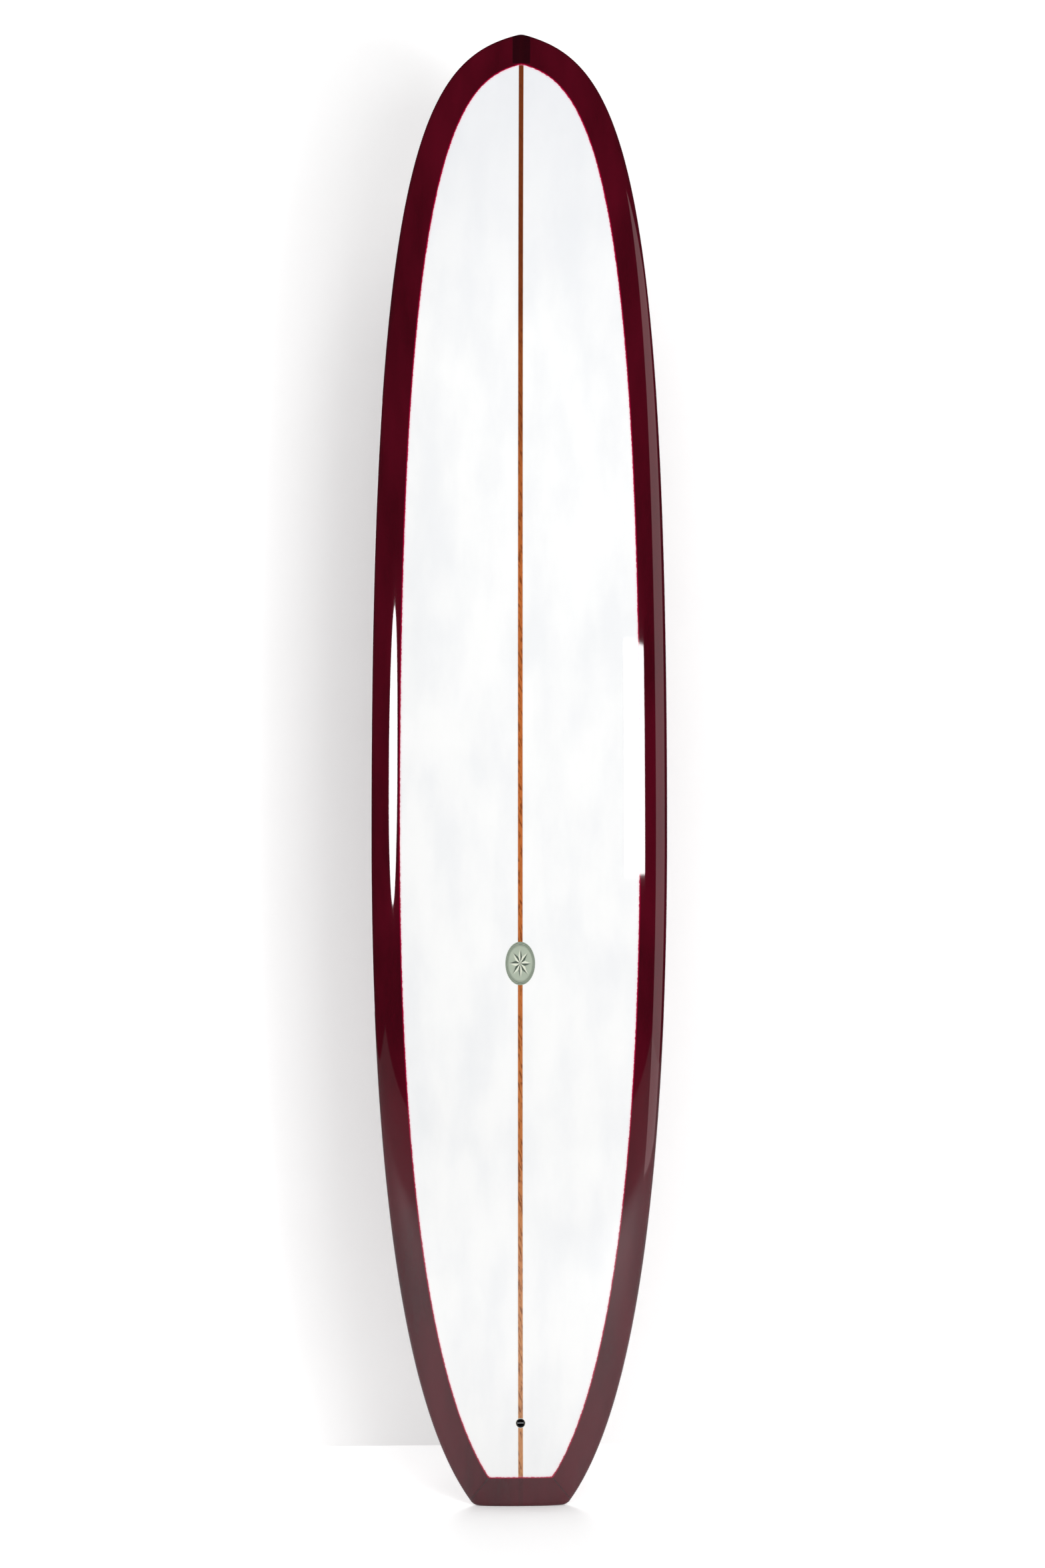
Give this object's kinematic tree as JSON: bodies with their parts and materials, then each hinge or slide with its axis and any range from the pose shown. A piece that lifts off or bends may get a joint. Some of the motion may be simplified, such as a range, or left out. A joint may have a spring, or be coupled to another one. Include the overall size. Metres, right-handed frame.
{
  "type": "longboard surfboard",
  "caption": "Long round-nosed surfboard with a square tail, tinted cut lap, wooden stringer, leash plug and a sliding single fin held by a screw.",
  "frame": {"origin": "middle of the flat end of the square tail, on which the board stands", "axes": "+Z from the tail to the nose, +Y towards the bottom and the fin, so the deck faces -Y, and +X to the right of a rider who faces the nose"},
  "size_m": [0.591, 0.3273, 2.896],
  "materials": {
    "foam": "matte",
    "cedar": "gloss",
    "tinted_laminate": "gloss",
    "clear_laminate": "gloss",
    "printed_paper": "gloss",
    "black_plastic": "satin",
    "resin": "gloss",
    "fin_laminate": "gloss",
    "steel": "satin",
    "brass": "satin"
  },
  "bodies": {
    "board": {"foam_left": "foam", "foam_right": "foam", "stringer": "cedar", "stringer_tail": "cedar", "bottom_laminate": "tinted_laminate", "deck_laminate": "clear_laminate", "emblem": "printed_paper", "leash_plug_cup": "black_plastic", "leash_plug_pin": "steel", "leash_plug_resin": "resin", "fin_box": "black_plastic", "fin_box_resin": "resin"},
    "fin_body": {"fin": "fin_laminate", "fin_cross_pin": "brass"},
    "screw_body": {"fin_screw": "steel"},
    "nut_body": {"fin_nut_plate": "steel"}
  },
  "joints": [
    {"name": "fin_slide", "type": "slide", "parent": "board", "child": "fin_body", "axis": [0, 0.0975, 0.9952], "range_m": [-0.048, 0.025]},
    {"name": "nut_travel", "type": "slide", "parent": "fin_body", "child": "nut_body", "axis": [0, -0.9952, 0.0975], "range_m": [0, 0.00198]},
    {"name": "screw_turn", "type": "hinge", "parent": "fin_body", "child": "screw_body", "pos_m": [0, 0.06002, 0.40881], "axis": [0, 0.9952, -0.0975], "range_deg": [0, 900]}
  ],
  "couplings": [
    {"joint": "screw_turn", "follows": "nut_travel", "rad_per_m": 7913.3}
  ]
}
